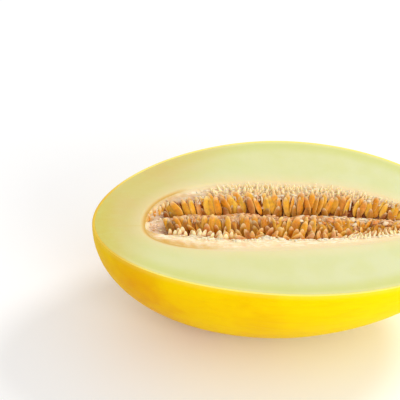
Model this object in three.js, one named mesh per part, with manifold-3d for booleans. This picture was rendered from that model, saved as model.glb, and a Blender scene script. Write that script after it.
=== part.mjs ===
// One half of a canary melon, cut lengthways and resting on its rind with the cut face level.
// Lengths are in millimetres. X runs along the melon, Z is up, and the floor is at z = 0.

import * as THREE from 'three';
import { ParametricGeometry } from 'three/addons/geometries/ParametricGeometry.js';
import { mergeVertices } from 'three/addons/utils/BufferGeometryUtils.js';
import Module from 'manifold-3d';

// The half as a whole
const halfLength = 115;
const halfWidth = 75;
const halfDepth = 73.5;
const outlineRoundness = 1.93; // exponent of the cut face's outline, where 2 is an ellipse
const outlineSwell = 0.06; // the +X half of the outline is this much fuller
const depthSwell = -0.17; // and the -X half is this much deeper
const endSweep = 9; // both ends sweep this far towards -Y
const rindThickness = 1.6;
const gap = 0.4; // between neighbouring pieces
const footCut = 3.4; // how much of the round underside the small flat spot takes away
const footHalfAngle = 9.5; // degrees either side of straight down that lie in the flat spot

// The seed cavity in the cut face
const cavityHalfLength = 84;
const cavityHalfWidth = 31.2;
const cavityDepth = 29;
const cavityRoundness = 2.24;
const cavitySwell = -0.15; // the cavity is fuller at -X
const cavityMiddleY = -0.5;
const cavityTipY = -10.2;
const cavityBow = 3.3; // how far its middle line bows towards +Y before it turns to the tips

// Seeds
const seedLength = 11;
const seedWidth = 4.6;
const seedThickness = 2.2;
const seedTaper = 0.34; // how much narrower the seed gets towards its pointed end
const seedSides = 7;
const seedEndSize = 0.78; // size of the seeds at the cavity's tips, as a share of the full size
const endLift = 0.4; // how much higher they sit there

// Steps of the surfaces
const endSteps = 5;
const cavitySteps = 20;
const sideSteps = 8; // from the rim down to the flat spot
const cavityRoundSteps = 10;
const strandMargin = 2; // steps left free at each tip of the cavity
const strandEndReach = 0.8; // how far a strand's pointed end runs on past its last step

// Section of the pulp bed at the middle of the melon, from the far wall to the near one.
// Each point is [across from the cavity's middle line, height over the cut face].
const bedSection = [
  [28.2, -0.8], [27.9, -6], [17.5, -8], [9.4, -11.5], [6.4, -9.5], [3.6, -7.6], [-1, -9],
  [-8.2, -14.6], [-13, -15.2], [-17.4, -15.6], [-21.6, -13.6], [-26.4, -5.6], [-26.8, -0.7],
  [-29.8, -0.5],
];

// Sections of the three strands that lie on the bed. The seeds grow from them.
const strandSections = {
  far: [[27.4, -0.3], [17.2, -0.3], [8.6, -8.6], [9.4, -11], [17.5, -7.5], [27.4, -5.4]],
  ridge: [[3.2, -3.7], [-2.2, -3.2], [-10.2, -12.2], [-8.2, -14.1], [-1, -8.4], [3.4, -7]],
  near: [[-26.1, -1.2], [-25.9, -5.2], [-21.2, -13], [-17.4, -15], [-16, -12.4], [-24.4, -0.6]],
};
const finPlaces = [6, -14]; // across, where thin walls keep the three bunches of seeds apart
const finWidth = 0.4;
const finTop = 14;

// Rows of seeds. from and to are the row's ends along X, and across and height are where the
// seeds' middles sit in the middle section. slope turns them from upright (0) to lying back (90),
// fan is how far the row's ends lean outwards, twist lets them turn about their length, and
// jitter is the random part of all three, in degrees.
const seedRows = {
  far: [
    { from: -72, to: 74, pitch: 3.8, across: 14, height: -2.6, slope: 50, fan: 26, twist: 16,
      jitter: 10 },
    { from: -50, to: 72, pitch: 4.3, across: 20.2, height: -1.5, slope: 12, fan: 20, twist: 55,
      jitter: 16 },
    { from: -28, to: 62, pitch: 4.8, across: 25.2, height: -2.4, slope: 8, fan: 20, twist: 60,
      jitter: 16 },
  ],
  ridge: [
    { from: -58, to: 76, pitch: 3.9, across: -5.7, height: -6.7, slope: 49, fan: 18, twist: 16,
      jitter: 12 },
    { from: -6, to: 70, pitch: 7, across: 0.6, height: -3.6, slope: 62, fan: 30, twist: 20,
      jitter: 28 },
  ],
  near: [
    { from: -62, to: 66, pitch: 4.5, across: -20, height: -5.8, slope: -46, fan: 20, twist: 16,
      jitter: 12 },
    { from: -58, to: -30, pitch: 4.2, across: -24.6, height: -3, slope: 2, fan: 20, twist: 50,
      jitter: 14 },
    { from: 34, to: 70, pitch: 4, across: -24.6, height: -2.6, slope: 14, fan: 30, twist: 50,
      jitter: 12 },
  ],
};

const wasm = await Module();
wasm.setup();

// Makes a repeatable source of numbers from -1 to 1.
function seededRandom(seed) {
  let state = seed;
  return () => {
    state = (state * 1664525 + 1013904223) % 4294967296;
    return (state / 4294967296) * 2 - 1;
  };
}

// Keeps only the corners' positions, joins the ones that coincide and drops the faces that
// have collapsed, which leaves one closed surface.
function closeSurface(geometry) {
  geometry.deleteAttribute('normal');
  geometry.deleteAttribute('uv');
  const merged = mergeVertices(geometry, 1e-4);
  const corners = merged.index.array;
  const kept = [];
  for (let i = 0; i < corners.length; i += 3) {
    const [a, b, c] = corners.slice(i, i + 3);
    if (a !== b && b !== c && c !== a) kept.push(a, b, c);
  }
  merged.setIndex(kept);
  return merged;
}

function toSolid(geometry) {
  const closed = closeSurface(geometry);
  return new wasm.Manifold(new wasm.Mesh({
    numProp: 3,
    vertProperties: Float32Array.from(closed.attributes.position.array),
    triVerts: Uint32Array.from(closed.index.array),
  }));
}

// Cuts each four-cornered patch along its shorter diagonal, so that skins which lie side by side
// have matching faces. The patches come as pairs of triangles, a b d and b c d.
function cutShorterWay(surface) {
  const corners = surface.index.array;
  const position = surface.attributes.position;
  const point = (index) => new THREE.Vector3().fromBufferAttribute(position, index);
  for (let i = 0; i < corners.length; i += 6) {
    const [a, b, d, , c] = corners.slice(i, i + 6);
    if (point(a).distanceTo(point(c)) < point(b).distanceTo(point(d)) - 1e-3) {
      corners.set([a, b, c, a, c, d], i);
    }
  }
  return surface;
}

// Stretches a skin over a row of closed outlines. The first and last ones close to a point.
function skin(outlines) {
  const corners = outlines[0].length;
  const steps = outlines.length - 1;
  const surface = (around, along, target) => {
    const outline = outlines[Math.round(along * steps)];
    target.copy(outline[Math.round(around * corners) % corners]);
  };
  return toSolid(cutShorterWay(new ParametricGeometry(surface, corners, steps)));
}

// How full an outline is at u, from 0 at its ends (u = -1 and 1) to about 1 in the middle.
function fullness(u, roundness, swell) {
  const base = Math.max(0, 1 - Math.abs(u) ** roundness);
  return base ** (1 / roundness) * (1 + swell * u);
}

function depthAt(u, inset) {
  const outline = fullness(u, outlineRoundness, outlineSwell);
  return (halfDepth - inset) * outline * (1 + depthSwell * u);
}

// Stations along the melon from -1 to 1, with one at each tip of the cavity.
const fleshInset = rindThickness + gap;
const tipStation = cavityHalfLength / (halfLength - fleshInset);
const tipAngle = Math.asin(tipStation);
const stations = [];
for (let i = 0; i < endSteps; i += 1) {
  stations.push(-Math.sin(THREE.MathUtils.lerp(Math.PI / 2, tipAngle, i / endSteps)));
}
for (let i = 0; i <= cavitySteps; i += 1) {
  stations.push(tipStation * Math.sin(Math.PI * (i / cavitySteps - 0.5)));
}
for (let i = 1; i <= endSteps; i += 1) {
  stations.push(Math.sin(THREE.MathUtils.lerp(tipAngle, Math.PI / 2, i / endSteps)));
}
const cavityStations = stations.slice(endSteps, endSteps + cavitySteps + 1)
  .map((u) => u / tipStation);
const faceHeight = Math.max(...stations.map((u) => depthAt(u, 0))) - footCut;

// A point of the round body at an inset from the outer surface. turn goes from 0 at the near rim,
// under the body, to 1 at the far rim. The underside is flat where it would pass the foot.
function bodyPoint(inset, u, turn) {
  const width = (halfWidth - inset) * fullness(u, outlineRoundness, outlineSwell);
  const drop = depthAt(u, inset) * Math.sin(Math.PI * turn);
  return new THREE.Vector3(
    (halfLength - inset) * u,
    -endSweep * u * u - width * Math.cos(Math.PI * turn),
    Math.max(inset, faceHeight - drop),
  );
}

// The line that the cavity follows, and past its tips the vein that runs on to the ends.
function middleLine(x) {
  const v = Math.abs(x) / cavityHalfLength;
  if (v <= 1) {
    const bow = cavityBow * v ** 1.5 * (1 - v ** 12);
    return cavityMiddleY + (cavityTipY - cavityMiddleY) * v * v + bow;
  }
  const reach = (Math.abs(x) - cavityHalfLength) / (halfLength - fleshInset - cavityHalfLength);
  return THREE.MathUtils.lerp(cavityTipY, -endSweep, reach);
}

// Width of the cavity at station v (-1 to 1), as a share of its width in the middle.
function cavityShare(v) {
  return Math.abs(v) < 1 ? fullness(v, cavityRoundness, cavitySwell) : 0;
}

// A point of the cavity's wall. turn goes from 0 at the near edge to 1 at the far edge.
function cavityPoint(inset, v, turn) {
  const share = cavityShare(v);
  const x = (cavityHalfLength - inset) * v;
  return new THREE.Vector3(
    x,
    middleLine(x) - (cavityHalfWidth - inset) * share * Math.cos(Math.PI * turn),
    faceHeight - (cavityDepth - inset) * share * Math.sin(Math.PI * turn),
  );
}

// A point given in the cavity's middle section, moved to station v and scaled with the cavity.
function sectionPoint(v, [across, height]) {
  const share = cavityShare(v);
  const x = (cavityHalfLength - gap) * v;
  const scaledHeight = height < 0 ? height * share : height;
  return new THREE.Vector3(x, middleLine(x) + across * share, faceHeight + scaledHeight);
}

function arc(steps, pointAt) {
  return Array.from({ length: steps + 1 }, (_, i) => pointAt(i / steps));
}

// Runs from one rim of the body to the other, in even steps down each side of the flat spot.
function bodyArc(pointAt) {
  const footTurn = 0.5 - footHalfAngle / 180;
  return [
    ...arc(sideSteps, (share) => pointAt(share * footTurn)),
    ...arc(sideSteps, (share) => pointAt(1 - (1 - share) * footTurn)),
  ];
}

function makeRind() {
  return skin(stations.map((u) => [
    ...bodyArc((turn) => bodyPoint(0, u, turn)),
    ...bodyArc((turn) => bodyPoint(rindThickness, u, 1 - turn)),
  ]));
}

function makeFlesh() {
  return skin(stations.map((u) => [
    ...bodyArc((turn) => bodyPoint(fleshInset, u, turn)),
    ...arc(cavityRoundSteps, (turn) => cavityPoint(0, u / tipStation, 1 - turn)),
  ]));
}

function makeBed() {
  return skin(cavityStations.map((v) => [
    ...arc(cavityRoundSteps, (turn) => cavityPoint(gap, v, turn)),
    ...bedSection.map((point) => sectionPoint(v, point)),
  ]));
}

// Adds a point beyond each end of a row of outlines, for the skin to close on.
function withClosedEnds(outlines, reach) {
  const endPoint = (outline, shift) => {
    const middle = new THREE.Vector3(shift, 0, 0);
    outline.forEach((point) => middle.addScaledVector(point, 1 / outline.length));
    return outline.map(() => middle);
  };
  return [endPoint(outlines[0], -reach), ...outlines, endPoint(outlines.at(-1), reach)];
}

function makeStrand(section) {
  const inner = cavityStations.slice(strandMargin, -strandMargin);
  const outlines = inner.map((v) => section.map((point) => sectionPoint(v, point)));
  return skin(withClosedEnds(outlines, strandEndReach));
}

// All that the seeds stay clear of: the bed and the cut face, and thin walls between the bunches.
function makeKeepOut() {
  const profile = [[cavityHalfWidth, gap]];
  bedSection.forEach(([across, height], i) => {
    profile.push([across, height + gap]);
    const next = bedSection[i + 1] ?? [-cavityHalfWidth, 0];
    finPlaces.filter((place) => place < across && place > next[0]).forEach((place) => {
      const share = (place - across) / (next[0] - across);
      const foot = THREE.MathUtils.lerp(height, next[1], share) + gap;
      const sides = [place + finWidth / 2, place - finWidth / 2];
      profile.push([sides[0], foot], [sides[0], finTop], [sides[1], finTop], [sides[1], foot]);
    });
  });
  profile.push([-cavityHalfWidth, gap]);
  const outlines = cavityStations.slice(1, -1).map((v) => {
    const x = (cavityHalfLength - gap) * v;
    const face = faceHeight + gap;
    return [
      ...profile.map((point) => sectionPoint(v, point)),
      ...[[-halfWidth, face], [-halfWidth, 0], [halfWidth, 0], [halfWidth, face]].map(
        ([y, z]) => new THREE.Vector3(x, y, z),
      ),
    ];
  });
  return skin(withClosedEnds(outlines, 1));
}

// One seed at the origin: a flat drop with a sharp edge. Its pointed end is at +Y, its face is +Z.
function seedGeometry() {
  const seed = new THREE.SphereGeometry(1, seedSides, 2);
  const position = seed.attributes.position;
  for (let i = 0; i < position.count; i += 1) {
    const along = position.getZ(i);
    const across = position.getX(i) * (1 - seedTaper * along);
    position.setXYZ(
      i,
      across * seedWidth / 2,
      along * seedLength / 2,
      -position.getY(i) * seedThickness / 2,
    );
  }
  return seed;
}

// Places the seeds of one row, each with its middle on the row's line and its point upwards.
function growRow(row, random) {
  const solids = [];
  const toRadians = THREE.MathUtils.degToRad;
  const middleX = (row.from + row.to) / 2;
  const halfRow = (row.to - row.from) / 2;
  for (let x = row.from; x <= row.to; x += row.pitch) {
    const seedX = x + random() * row.pitch * 0.25;
    const v = seedX / (cavityHalfLength - gap);
    const share = cavityShare(v);
    const place = sectionPoint(v, [row.across + random() * 0.7, row.height]);
    place.z += random() * 0.6 + (1 - share) * endLift;
    const fan = toRadians(-row.fan * (seedX - middleX) / halfRow + random() * row.jitter);
    const slope = toRadians(90 - row.slope + random() * row.jitter * 0.5);
    const twist = toRadians(row.twist * random() + row.jitter * random());
    const size = THREE.MathUtils.lerp(seedEndSize, 1, share) * (1 + random() * 0.07);
    const pose = new THREE.Matrix4().makeTranslation(place)
      .multiply(new THREE.Matrix4().makeRotationX(slope))
      .multiply(new THREE.Matrix4().makeRotationZ(fan))
      .multiply(new THREE.Matrix4().makeRotationY(twist))
      .multiply(new THREE.Matrix4().makeScale(size, size, size));
    solids.push(toSolid(seedGeometry().applyMatrix4(pose)));
  }
  return solids;
}

// One strand with its seeds. Crumbs that the cuts leave loose, and sealed bubbles, are dropped.
function makeBunch(name, keepOut, random) {
  const seeds = seedRows[name].flatMap((row) => growRow(row, random));
  const clear = wasm.Manifold.union(seeds).subtract(keepOut);
  const joined = makeStrand(strandSections[name]).add(clear);
  return joined.decompose().reduce((a, b) => (a.volume() > b.volume() ? a : b));
}

function toMesh(name, solid, finish) {
  const { vertProperties, triVerts } = solid.getMesh();
  const geometry = new THREE.BufferGeometry();
  geometry.setAttribute('position', new THREE.BufferAttribute(vertProperties, 3));
  geometry.setIndex(new THREE.BufferAttribute(triVerts, 1));
  const mesh = new THREE.Mesh(geometry, new THREE.MeshStandardMaterial(finish));
  mesh.name = name;
  return mesh;
}

const rindFinish = { color: 0xf3c414, roughness: 0.38, metalness: 0 };
const fleshFinish = { color: 0xe3e6ac, roughness: 0.42, metalness: 0 };
const pulpFinish = { color: 0xf6e3bd, roughness: 0.35, metalness: 0 };
const seedFinish = { color: 0xd8973a, roughness: 0.3, metalness: 0 };

const random = seededRandom(11);
const keepOut = makeKeepOut();
const melon = new THREE.Group();
melon.add(toMesh('rind', makeRind(), rindFinish));
melon.add(toMesh('flesh', makeFlesh(), fleshFinish));
melon.add(toMesh('pulp', makeBed(), pulpFinish));
for (const name of Object.keys(seedRows)) {
  melon.add(toMesh(`seeds_${name}`, makeBunch(name, keepOut, random), seedFinish));
}

export default melon;
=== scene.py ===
import math
import random

import bpy
import numpy as np
from mathutils import Matrix, Vector, noise


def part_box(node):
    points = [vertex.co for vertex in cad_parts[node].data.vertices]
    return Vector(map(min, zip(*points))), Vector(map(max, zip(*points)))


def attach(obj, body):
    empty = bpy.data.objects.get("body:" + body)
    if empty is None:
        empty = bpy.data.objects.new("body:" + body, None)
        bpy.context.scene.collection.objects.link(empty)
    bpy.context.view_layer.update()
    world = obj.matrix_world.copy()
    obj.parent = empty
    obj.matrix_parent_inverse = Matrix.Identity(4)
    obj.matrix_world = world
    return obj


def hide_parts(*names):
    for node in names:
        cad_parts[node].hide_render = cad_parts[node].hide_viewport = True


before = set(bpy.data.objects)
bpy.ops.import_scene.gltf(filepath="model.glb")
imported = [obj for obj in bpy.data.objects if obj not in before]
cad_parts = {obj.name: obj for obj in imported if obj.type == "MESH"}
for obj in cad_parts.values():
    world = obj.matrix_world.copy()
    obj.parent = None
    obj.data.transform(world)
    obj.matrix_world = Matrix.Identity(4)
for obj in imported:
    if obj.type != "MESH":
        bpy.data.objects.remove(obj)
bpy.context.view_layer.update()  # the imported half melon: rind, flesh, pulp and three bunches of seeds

mm = 0.001
rindLow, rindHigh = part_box("rind")
halfLength = rindHigh.x
halfWidth = (rindHigh.y - rindLow.y) / 2
faceZ = rindHigh.z  # height of the cut face over the floor

# The round body follows the same rule as the frame's solids
body = {
    "halfDepth": 73.5 * mm,
    "roundness": 1.93,  # 2 would be an ellipse
    "swell": 0.06,  # fuller towards +X
    "depthSwell": -0.17,  # deeper towards -X
    "sweep": 9 * mm,  # both ends bend to -Y
    "rindThickness": 1.6 * mm,
    "footSoftness": 0.5 * mm,
}
cavity = {
    "halfLength": 84 * mm,
    "halfWidth": 31.2 * mm,
    "depth": 29 * mm,
    "roundness": 2.24,
    "swell": -0.15,
    "middleY": -0.5 * mm,
    "tipY": -10.2 * mm,
    "bow": 3.3 * mm,  # its middle line bows this far to +Y before it turns to the tips
}


def say(stage):
    print("melon:", stage)


def srgb(red, green, blue):
    channels = [c / 255 for c in (red, green, blue)]
    linear = [c / 12.92 if c <= 0.04045 else ((c + 0.055) / 1.055) ** 2.4 for c in channels]
    return (*linear, 1.0)


def smoothStep(low, high, value):
    t = np.clip((value - low) / (high - low), 0.0, 1.0)
    return t * t * (3 - 2 * t)


def between(value, rise, fall):
    # 1 from the end of the rise to the start of the fall, 0 outside them
    return smoothStep(*rise, value) * (1 - smoothStep(*fall, value))


def fullness(u, roundness, swell):
    base = np.maximum(0.0, 1.0 - np.abs(u) ** roundness)
    return base ** (1.0 / roundness) * (1.0 + swell * u)


def noiseField(points, size, seed):
    # smooth noise from -1 to 1 at each point, with lumps about size across
    shift = Vector((seed * 7.3, seed * 3.1, seed * 5.7))
    scale = 1.0 / size
    flat = np.asarray(points, float).reshape(-1, 3) * scale
    values = [noise.noise(Vector(p) + shift) for p in flat]
    return np.array(values).reshape(np.asarray(points).shape[:-1])


def ringPosition(angle, drop):
    # place on a round bowl: u runs along it, across and under give the spot in its section
    u = np.cos(angle) * math.cos(drop)
    across = np.sin(angle) * math.cos(drop)
    under = math.sin(drop)
    reach = np.maximum(1e-9, np.sqrt(across ** 2 + under ** 2))
    return u, across / reach, under / reach


def bodyRing(inset, angle, drop):
    u, across, under = ringPosition(angle, drop)
    full = fullness(u, body["roundness"], body["swell"])
    x = (halfLength - inset) * u
    y = -body["sweep"] * u ** 2 + (halfWidth - inset) * full * across
    depth = (body["halfDepth"] - inset) * full * (1 + body["depthSwell"] * u)
    clear = faceZ - depth * under - inset  # smoothly flattened where it meets the foot
    clear = 0.5 * (clear + np.sqrt(clear ** 2 + body["footSoftness"] ** 2))
    return np.stack([x, y, inset + clear], axis=-1)


def middleLine(x):
    v = np.abs(x) / cavity["halfLength"]
    inside = cavity["middleY"] + (cavity["tipY"] - cavity["middleY"]) * v * v
    inside = inside + cavity["bow"] * v ** 1.5 * (1 - np.minimum(v, 1) ** 12)
    reach = (np.abs(x) - cavity["halfLength"]) / (halfLength - cavity["halfLength"])
    return np.where(v <= 1, inside, cavity["tipY"] + (-body["sweep"] - cavity["tipY"]) * reach)


def cavityRing(inset, angle, drop):
    v, across, under = ringPosition(angle, drop)
    share = fullness(v, cavity["roundness"], cavity["swell"])
    x = (cavity["halfLength"] - inset) * v
    y = middleLine(x) + (cavity["halfWidth"] - inset) * share * across
    z = faceZ - (cavity["depth"] - inset) * share * under
    return np.stack([x, y, z], axis=-1)


def addAttribute(mesh, name, values):
    layer = mesh.attributes.new(name, "FLOAT", "POINT")
    layer.data.foreach_set("value", np.asarray(values, np.float32).ravel())


def makeObject(name, verts, faces, material, attributes=None, sharpAngle=60):
    mesh = bpy.data.meshes.new(name)
    mesh.from_pydata([tuple(v) for v in verts], [], faces)
    mesh.update()
    for key, values in (attributes or {}).items():
        addAttribute(mesh, key, values)
    mesh.shade_smooth()
    mesh.set_sharp_from_angle(angle=math.radians(sharpAngle))
    mesh.materials.append(material)
    piece = bpy.data.objects.new(name, mesh)
    bpy.context.scene.collection.objects.link(piece)
    return piece


def ringSkin(rings):
    # rings of equal length become one closed skin; the first and last ring close to a point
    count = len(rings[0])
    verts = [rings[0].mean(axis=0)] + [p for ring in rings for p in ring] + [rings[-1].mean(axis=0)]
    faces = []
    for k in range(len(rings) - 1):
        a, b = 1 + k * count, 1 + (k + 1) * count
        for i in range(count):
            j = (i + 1) % count
            faces.append((a + i, a + j, b + j, b + i))
    last = 1 + (len(rings) - 1) * count
    for i in range(count):
        j = (i + 1) % count
        faces.append((0, 1 + j, 1 + i))
        faces.append((len(verts) - 1, last + i, last + j))
    return np.array(verts), faces


# Node helpers

def newMaterial(name):
    material = bpy.data.materials.new(name)
    material.use_nodes = True
    tree = material.node_tree
    tree.nodes.clear()
    output = tree.nodes.new("ShaderNodeOutputMaterial")
    shader = tree.nodes.new("ShaderNodeBsdfPrincipled")
    tree.links.new(shader.outputs["BSDF"], output.inputs["Surface"])
    return material, tree, shader


def setInputs(node, values):
    for key, value in values.items():
        node.inputs[key].default_value = value


def addNode(tree, kind, inputs=None, **settings):
    node = tree.nodes.new(kind)
    for key, value in settings.items():
        setattr(node, key, value)
    setInputs(node, inputs or {})
    return node


def feed(tree, value, socket):
    # value is a socket, a number or a colour
    if isinstance(value, bpy.types.NodeSocket):
        tree.links.new(value, socket)
    else:
        socket.default_value = value


def mixColor(tree, factor, first, second):
    node = addNode(tree, "ShaderNodeMix", data_type="RGBA")
    tree.links.new(factor, node.inputs[0])
    feed(tree, first, node.inputs[6])
    feed(tree, second, node.inputs[7])
    return node.outputs[2]


def mathNode(tree, operation, first, second):
    node = addNode(tree, "ShaderNodeMath", operation=operation)
    feed(tree, first, node.inputs[0])
    feed(tree, second, node.inputs[1])
    return node.outputs[0]


def scaled(tree, mask, amount):
    return mathNode(tree, "MULTIPLY", mask, amount)


def layers(tree, ground, look, bands):
    # lays colours of the look over the ground, each by its mask and how much of it
    for color, mask, amount in bands:
        mask = mask if amount == 1 else scaled(tree, mask, amount)
        ground = mixColor(tree, mask, ground, look[color])
    return ground


def rangeNode(tree, value, low, high, outLow=0.0, outHigh=1.0):
    node = addNode(tree, "ShaderNodeMapRange", {
        "From Min": low, "From Max": high, "To Min": outLow, "To Max": outHigh,
    }, interpolation_type="SMOOTHSTEP")
    tree.links.new(value, node.inputs["Value"])
    return node.outputs["Result"]


def attributeNode(tree, name):
    return addNode(tree, "ShaderNodeAttribute", attribute_name=name).outputs["Fac"]


def placeNode(tree):
    return addNode(tree, "ShaderNodeTexCoord").outputs["Object"]


def splitNode(tree, vector):
    node = addNode(tree, "ShaderNodeSeparateXYZ")
    tree.links.new(vector, node.inputs[0])
    return node.outputs


def bumpNode(tree, shader, height, strength, distance):
    node = addNode(tree, "ShaderNodeBump", {"Strength": strength, "Distance": distance})
    tree.links.new(height, node.inputs["Height"])
    tree.links.new(node.outputs["Normal"], shader.inputs["Normal"])


def makeGroup(name, inputs, outputs):
    group = bpy.data.node_groups.new(name, "ShaderNodeTree")
    for socketName, kind, value in inputs:
        socket = group.interface.new_socket(name=socketName, in_out="INPUT", socket_type=kind)
        if value is not None:
            socket.default_value = value
    for socketName, kind in outputs:
        group.interface.new_socket(name=socketName, in_out="OUTPUT", socket_type=kind)
    return group, group.nodes.new("NodeGroupInput"), group.nodes.new("NodeGroupOutput")


def makeStreaks():
    # long fine streaks along X, such as the rind's wrinkles and the pulp's threads
    group, inputs, outputs = makeGroup("fineStreaks", [
        ("Place", "NodeSocketVector", None),
        ("Stretch", "NodeSocketVector", (40.0, 260.0, 260.0)),
        ("Detail", "NodeSocketFloat", 4.0),
        ("Low", "NodeSocketFloat", 0.35),
        ("High", "NodeSocketFloat", 0.65),
    ], [("Mask", "NodeSocketFloat")])
    stretch = addNode(group, "ShaderNodeVectorMath", operation="MULTIPLY")
    grain = addNode(group, "ShaderNodeTexNoise", {"Scale": 1.0, "Roughness": 0.6, "Distortion": 0.4})
    span = addNode(group, "ShaderNodeMapRange", interpolation_type="SMOOTHSTEP")
    links = group.links
    links.new(inputs.outputs["Place"], stretch.inputs[0])
    links.new(inputs.outputs["Stretch"], stretch.inputs[1])
    links.new(stretch.outputs[0], grain.inputs["Vector"])
    links.new(inputs.outputs["Detail"], grain.inputs["Detail"])
    links.new(grain.outputs["Fac"], span.inputs["Value"])
    links.new(inputs.outputs["Low"], span.inputs["From Min"])
    links.new(inputs.outputs["High"], span.inputs["From Max"])
    links.new(span.outputs["Result"], outputs.inputs["Mask"])
    return group


def makeMottle():
    # soft round patches, used for ripeness, moisture and cloudy pulp
    group, inputs, outputs = makeGroup("softMottle", [
        ("Place", "NodeSocketVector", None),
        ("Scale", "NodeSocketFloat", 60.0),
        ("Low", "NodeSocketFloat", 0.35),
        ("High", "NodeSocketFloat", 0.65),
    ], [("Mask", "NodeSocketFloat")])
    grain = addNode(group, "ShaderNodeTexNoise", {"Detail": 3.0, "Roughness": 0.55})
    span = addNode(group, "ShaderNodeMapRange", interpolation_type="SMOOTHSTEP")
    links = group.links
    links.new(inputs.outputs["Place"], grain.inputs["Vector"])
    links.new(inputs.outputs["Scale"], grain.inputs["Scale"])
    links.new(grain.outputs["Fac"], span.inputs["Value"])
    links.new(inputs.outputs["Low"], span.inputs["From Min"])
    links.new(inputs.outputs["High"], span.inputs["From Max"])
    links.new(span.outputs["Result"], outputs.inputs["Mask"])
    return group


streaks = makeStreaks()
mottle = makeMottle()


def placeGroup(tree, group, place, **values):
    node = addNode(tree, "ShaderNodeGroup", node_tree=group)
    tree.links.new(place, node.inputs["Place"])
    setInputs(node, {key.capitalize(): value for key, value in values.items()})
    return node.outputs["Mask"]


# Rind

rindLook = {
    "steps": 300,
    "bowlRings": 84,
    "rimRadius": 0.25 * mm,
    "wrinkle": 0.16 * mm,
    "lemon": srgb(251, 228, 0),
    "canary": srgb(250, 213, 0),
    "golden": srgb(225, 140, 0),
    "cutPale": srgb(246, 233, 134),
    "cutGold": srgb(222, 184, 76),
    "ripeningAndShade": (-halfLength, halfLength * 0.8),  # golden at the first end, lemon at the other: partly ripeness, partly painted shade on the first end
    "goldTip": (-108 * mm, -80 * mm),  # the cut rim turns from golden to pale along this span
    "underRim": (18 * mm, 3 * mm, 0.22),  # from and to how far under the cut, and how lemon
    "paleEdge": (4 * mm, 0.5 * mm, 0.14),  # the same for the pale line along the cut
    "roughness": (0.37, 0.48),
}


def rindMaterial():
    material, tree, shader = newMaterial("rindSkin")
    links, look = tree.links, rindLook
    place = placeNode(tree)
    spot = splitNode(tree, place)
    cloud = placeGroup(tree, mottle, place, scale=28.0, low=0.3, high=0.7)
    lines = placeGroup(tree, streaks, place, stretch=(26.0, 330.0, 330.0), detail=5.0, low=0.42, high=0.7)
    bands = [("canary", rangeNode(tree, cloud, 0.0, 1.0, 0.2, 0.65), 1), ("golden", lines, 0.1)]
    for key, color in (("underRim", "lemon"), ("paleEdge", "cutPale")):
        low, high, amount = look[key]
        bands.append((color, rangeNode(tree, spot["Z"], faceZ - low, faceZ - high, 0.0, amount), 1))
    # ground runs golden to lemon along X: partly ripeness, partly painted shade darkening the -X end
    ground = mixColor(tree, rangeNode(tree, spot["X"], *look["ripeningAndShade"]), look["golden"], look["lemon"])
    ground = layers(tree, ground, look, bands)
    normal = addNode(tree, "ShaderNodeNewGeometry").outputs["True Normal"]
    cutMask = rangeNode(tree, splitNode(tree, normal)["Z"], 0.55, 0.9, 0.0, 0.8)
    cutEdge = mixColor(tree, rangeNode(tree, spot["X"], *look["goldTip"]), look["cutGold"], look["cutPale"])
    links.new(mixColor(tree, cutMask, ground, cutEdge), shader.inputs["Base Color"])
    links.new(rangeNode(tree, cloud, 0.0, 1.0, *look["roughness"]), shader.inputs["Roughness"])
    pores = addNode(tree, "ShaderNodeTexNoise", {"Scale": 900.0, "Detail": 2.0})
    links.new(place, pores.inputs["Vector"])
    height = mathNode(tree, "ADD", lines, scaled(tree, pores.outputs["Fac"], 0.35))
    bumpNode(tree, shader, height, 0.17, 0.0006)
    setInputs(shader, {
        "Subsurface Weight": 0.12, "Subsurface Radius": (0.004, 0.002, 0.0005),
        "Subsurface Scale": 1.0, "IOR": 1.45, "Specular IOR Level": 0.04,
        "Specular Tint": (1.0, 0.8, 0.05, 1),
    })
    return material


def makeRind():
    angle = np.linspace(0, 2 * math.pi, rindLook["steps"], endpoint=False)
    drops = np.linspace(math.pi / 2, 0.012, rindLook["bowlRings"])
    thickness, radius = body["rindThickness"], rindLook["rimRadius"]

    def rim(inset, down):
        return bodyRing(inset, angle, 0) - np.array([0, 0, down])

    rings = []
    for drop in drops[1:]:
        ring = bodyRing(0, angle, drop)
        stretched = ring * np.array([0.35, 1.6, 1.6])  # wrinkles run along the fruit
        ripple = noiseField(stretched, 0.012, 3) + 0.5 * noiseField(stretched, 0.005, 4)
        inward = ring - np.array([0.0, 0.0, faceZ * 0.9])
        inward /= np.linalg.norm(inward, axis=1, keepdims=True)
        # none at the cut and on the foot
        fade = smoothStep(0.0, 0.01, faceZ - ring[:, 2]) * smoothStep(0.0, 0.006, ring[:, 2])
        rings.append(ring - inward * ((0.5 + 0.5 * ripple) * rindLook["wrinkle"] * fade)[:, None])
    rings += [rim(0, radius), rim(radius * 0.3, radius * 0.3), rim(radius, 0)]
    rings += [rim(thickness - radius * 0.2, 0), rim(thickness, radius * 0.2)]
    rings += [bodyRing(thickness, angle, drop) for drop in drops[::-3]]
    verts, faces = ringSkin(rings)
    return makeObject("rindSkin", verts, faces, rindMaterial())


# Flesh

fleshLook = {
    "steps": 300,
    "faceRings": 74,
    "wallRings": 22,
    "seam": 0.02 * mm,  # between rind and flesh
    "shoulder": 0.6 * mm,  # how far the cavity's edge is rounded down
    "shoulderWidth": 4.5 * mm,
    "dish": 0.25 * mm,  # how far the cut face dries in
    "wave": 0.12 * mm,
    "slant": (1.0, -0.6, 0.0),  # painted light: the flesh is painted paler this way, towards the lit right and front
    "main": srgb(216, 215, 158),
    "green": srgb(205, 207, 122),
    # painted shade: warmer, darker tone for the low end of the slant
    "warm": srgb(210, 182, 104),
    "ochre": srgb(205, 192, 86),
    "cream": srgb(238, 215, 166),
    # paler tone, used for the painted light up the slant and for the fibres
    "light": srgb(216, 217, 167),
    "vein": srgb(214, 192, 112),
    "rim": srgb(226, 220, 150),
    "halo": srgb(240, 208, 138),
    # painted shadow: ochre lines along the cavity's edges at the left end
    "shadowOchre": srgb(212, 164, 74),
}


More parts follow.
